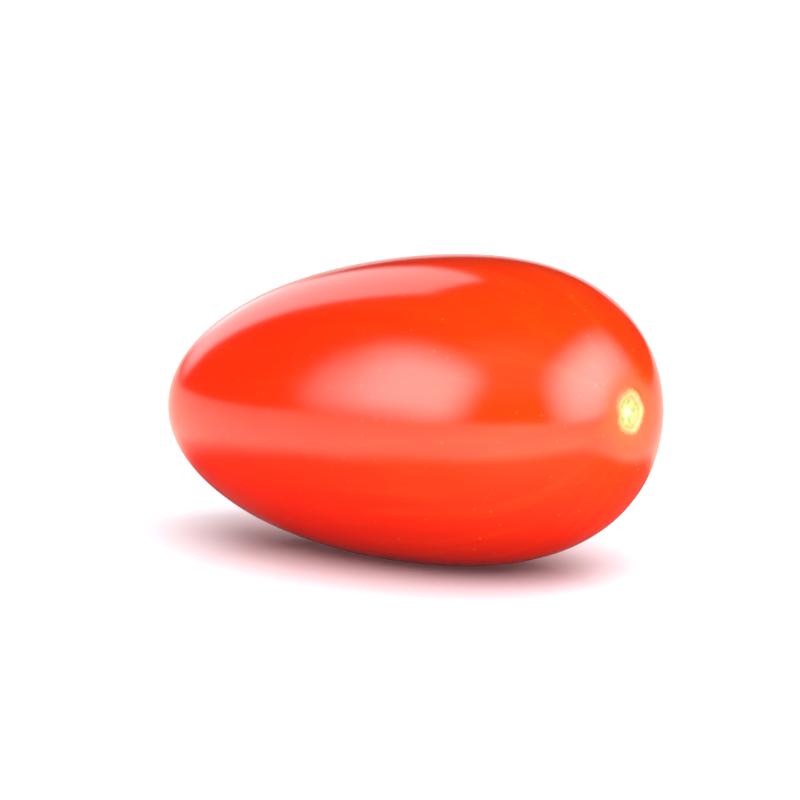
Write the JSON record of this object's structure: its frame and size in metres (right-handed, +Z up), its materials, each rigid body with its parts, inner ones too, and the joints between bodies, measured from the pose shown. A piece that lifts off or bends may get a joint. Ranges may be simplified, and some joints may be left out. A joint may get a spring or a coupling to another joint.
{
  "type": "plum cherry tomato",
  "caption": "Small whole plum-shaped cherry tomato with glossy red skin, picked, with a bare stem scar, lying on its side.",
  "frame": {"origin": "on the surface that the tomato lies on, under the middle of its box", "axes": "+X along its length towards the stem scar, +Y sideways, +Z up"},
  "size_m": [0.0428, 0.0242, 0.0238],
  "materials": {
    "tomato_skin": "gloss"
  },
  "bodies": {
    "root": {"tomato": "tomato_skin"}
  },
  "joints": []
}
